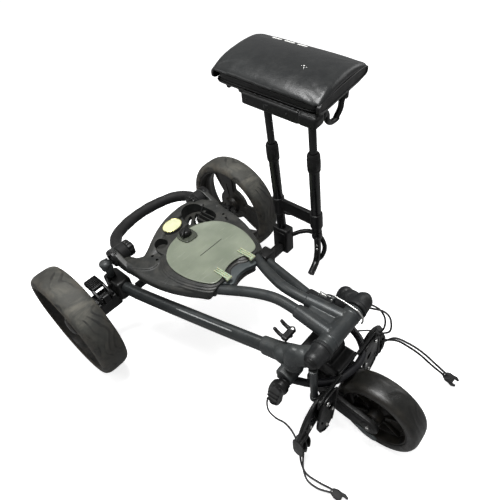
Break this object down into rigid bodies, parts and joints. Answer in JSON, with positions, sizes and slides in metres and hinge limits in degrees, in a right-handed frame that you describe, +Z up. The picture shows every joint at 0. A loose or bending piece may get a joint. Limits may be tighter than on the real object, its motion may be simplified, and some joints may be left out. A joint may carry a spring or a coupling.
{
  "type": "golf push trolley with seat",
  "caption": "Golf push trolley with a folded handle, scorecard console, bag cradle and a clamp-on seat on telescoping legs",
  "frame": {"origin": "on the ground, under the centre of the overall box", "axes": "+X across the trolley to the seat side, +Y to the rear (the front wheel is at -Y), +Z up"},
  "size_m": [0.6434, 0.88, 0.6378],
  "materials": {
    "frame_paint": "matt charcoal powder coat",
    "black_plastic": "moulded, fine grain",
    "tyre_rubber": "dusty, worn tread",
    "console_plastic": "moulded, satin",
    "grip_foam": "matt foam",
    "seat_vinyl": "smooth vinyl, soft sheen",
    "bright_steel": "zinc plated",
    "smoked_clear_plastic": "translucent, lightly scratched",
    "pale_tab_plastic": "clear moulding",
    "elastic_cord": "braided"
  },
  "bodies": {
    "chassis": {"main_tube_left": "frame_paint", "main_tube_right": "frame_paint", "rear_cross_tube": "frame_paint", "axle_bracket_left": "black_plastic", "axle_bracket_right": "black_plastic", "knuckle_left": "frame_paint", "knuckle_right": "frame_paint", "pivot_shaft": "bright_steel", "pivot_cap_left": "black_plastic", "pivot_cap_right": "black_plastic", "head_block": "frame_paint", "front_fork": "black_plastic", "front_axle": "bright_steel", "cradle_hoop": "frame_paint", "bag_bracket": "black_plastic", "support_strut": "frame_paint", "rest_pad_left": "grip_foam", "rest_pad_right": "grip_foam", "strap_clip": "black_plastic", "seat_outer_tube_rear": "frame_paint", "seat_outer_tube_front": "frame_paint", "seat_cross_plate": "black_plastic", "seat_clamp_block": "black_plastic", "seat_link_bar": "black_plastic", "seat_foot_frame": "frame_paint"},
    "rear_wheel_left": {"tyre_left": "tyre_rubber", "rim_left": "black_plastic", "hub_cap_left": "black_plastic"},
    "rear_wheel_right": {"tyre_right": "tyre_rubber", "rim_right": "black_plastic", "hub_cap_right": "black_plastic"},
    "front_wheel": {"tyre_front": "tyre_rubber", "rim_front": "black_plastic"},
    "handle": {"handle_yoke": "frame_paint", "handle_tube_left": "frame_paint", "handle_tube_right": "frame_paint", "console": "console_plastic"},
    "grip": {"grip_loop": "grip_foam"},
    "left_clamp_knob": {"clamp_knob_left": "black_plastic"},
    "right_clamp_knob": {"clamp_knob_right": "black_plastic"},
    "lid": {"scorecard_lid": "smoked_clear_plastic", "lid_tab_left": "pale_tab_plastic", "lid_tab_right": "pale_tab_plastic"},
    "lid_knob_body": {"lid_knob": "black_plastic"},
    "latch": {"wire_latch": "bright_steel"},
    "pedal": {"brake_pedal": "black_plastic"},
    "lever": {"brake_lever": "black_plastic"},
    "left_bag_arm": {"bag_arm_left": "black_plastic", "cord_left": "elastic_cord"},
    "right_bag_arm": {"bag_arm_right": "black_plastic", "cord_right": "elastic_cord"},
    "left_strap_arm": {"strap_arm_left": "black_plastic"},
    "right_strap_arm": {"strap_arm_right": "black_plastic"},
    "rear_collar": {"twist_collar_rear": "black_plastic"},
    "front_collar": {"twist_collar_front": "black_plastic"},
    "seat": {"seat_inner_tube_rear": "frame_paint", "seat_inner_tube_front": "frame_paint", "seat_tray": "black_plastic", "seat_pad": "seat_vinyl"},
    "seat_loop": {"seat_handle": "black_plastic"}
  },
  "joints": [
    {"name": "rear_wheel_left_spin", "type": "hinge", "parent": "chassis", "child": "rear_wheel_left", "pos_m": [-0.28823, 0.295, 0.145], "axis": [1, 0, 0], "continuous": true},
    {"name": "rear_wheel_right_spin", "type": "hinge", "parent": "chassis", "child": "rear_wheel_right", "pos_m": [0.26277, 0.295, 0.145], "axis": [1, 0, 0], "continuous": true},
    {"name": "front_wheel_spin", "type": "hinge", "parent": "chassis", "child": "front_wheel", "pos_m": [-0.01273, -0.351, 0.089], "axis": [1, 0, 0], "continuous": true},
    {"name": "handle_fold", "type": "hinge", "parent": "chassis", "child": "handle", "pos_m": [-0.01273, -0.246, 0.275], "axis": [1, 0, 0], "range_deg": [0, 70]},
    {"name": "grip_tilt", "type": "hinge", "parent": "handle", "child": "grip", "pos_m": [-0.01273, 0.267, 0.27], "axis": [1, 0, 0], "range_deg": [0, 95]},
    {"name": "clamp_knob_left_turn", "type": "hinge", "parent": "handle", "child": "left_clamp_knob", "pos_m": [-0.10873, 0.267, 0.27], "axis": [1, 0, 0], "range_deg": [-180, 180]},
    {"name": "clamp_knob_right_turn", "type": "hinge", "parent": "handle", "child": "right_clamp_knob", "pos_m": [0.08327, 0.267, 0.27], "axis": [1, 0, 0], "range_deg": [-180, 180]},
    {"name": "lid_open", "type": "hinge", "parent": "handle", "child": "lid", "pos_m": [-0.01273, -0.001, 0.28], "axis": [1, 0, 0], "range_deg": [0, 95]},
    {"name": "lid_knob_turn", "type": "hinge", "parent": "lid", "child": "lid_knob_body", "pos_m": [-0.01273, 0.1735, 0.2824], "axis": [0, 0, 1], "range_deg": [-90, 90]},
    {"name": "wire_latch_lift", "type": "hinge", "parent": "handle", "child": "latch", "pos_m": [0.02257, -0.207, 0.2985], "axis": [1, 0, 0], "range_deg": [-60, 0]},
    {"name": "brake_pedal_press", "type": "hinge", "parent": "chassis", "child": "pedal", "pos_m": [-0.21373, 0.275, 0.1745], "axis": [1, 0, 0], "range_deg": [-12, 4]},
    {"name": "brake_lever_swing", "type": "hinge", "parent": "chassis", "child": "lever", "pos_m": [-0.17673, 0.287, 0.215], "axis": [1, 0, 0], "range_deg": [-20, 20]},
    {"name": "bag_arm_left_fold", "type": "hinge", "parent": "chassis", "child": "left_bag_arm", "pos_m": [-0.09973, -0.281, 0.166], "axis": [0, 1, 0], "range_deg": [0, 45]},
    {"name": "bag_arm_right_fold", "type": "hinge", "parent": "chassis", "child": "right_bag_arm", "pos_m": [0.07427, -0.281, 0.166], "axis": [0, -1, 0], "range_deg": [0, 45]},
    {"name": "strap_arm_left_swing", "type": "hinge", "parent": "chassis", "child": "left_strap_arm", "pos_m": [-0.13523, -0.205, 0.195], "axis": [1, 0, 0], "range_deg": [0, 35]},
    {"name": "strap_arm_right_swing", "type": "hinge", "parent": "chassis", "child": "right_strap_arm", "pos_m": [0.10977, -0.205, 0.195], "axis": [1, 0, 0], "range_deg": [0, 35]},
    {"name": "twist_collar_rear_turn", "type": "hinge", "parent": "chassis", "child": "rear_collar", "pos_m": [0.16721, 0.04543, 0.436], "axis": [-0.0454, 0.03, 0.9985], "range_deg": [-90, 90]},
    {"name": "twist_collar_front_turn", "type": "hinge", "parent": "chassis", "child": "front_collar", "pos_m": [0.16676, -0.05957, 0.446], "axis": [-0.0454, 0.03, 0.9985], "range_deg": [-90, 90]},
    {"name": "seat_height", "type": "slide", "parent": "chassis", "child": "seat", "axis": [-0.0454, 0.03, 0.9985], "range_m": [0, 0.07]},
    {"name": "seat_loop_swing", "type": "hinge", "parent": "seat", "child": "seat_loop", "pos_m": [0.23283, -0.05711, 0.55798], "axis": [0.9959, 0.0272, 0.0868], "range_deg": [-70, 0]}
  ]
}
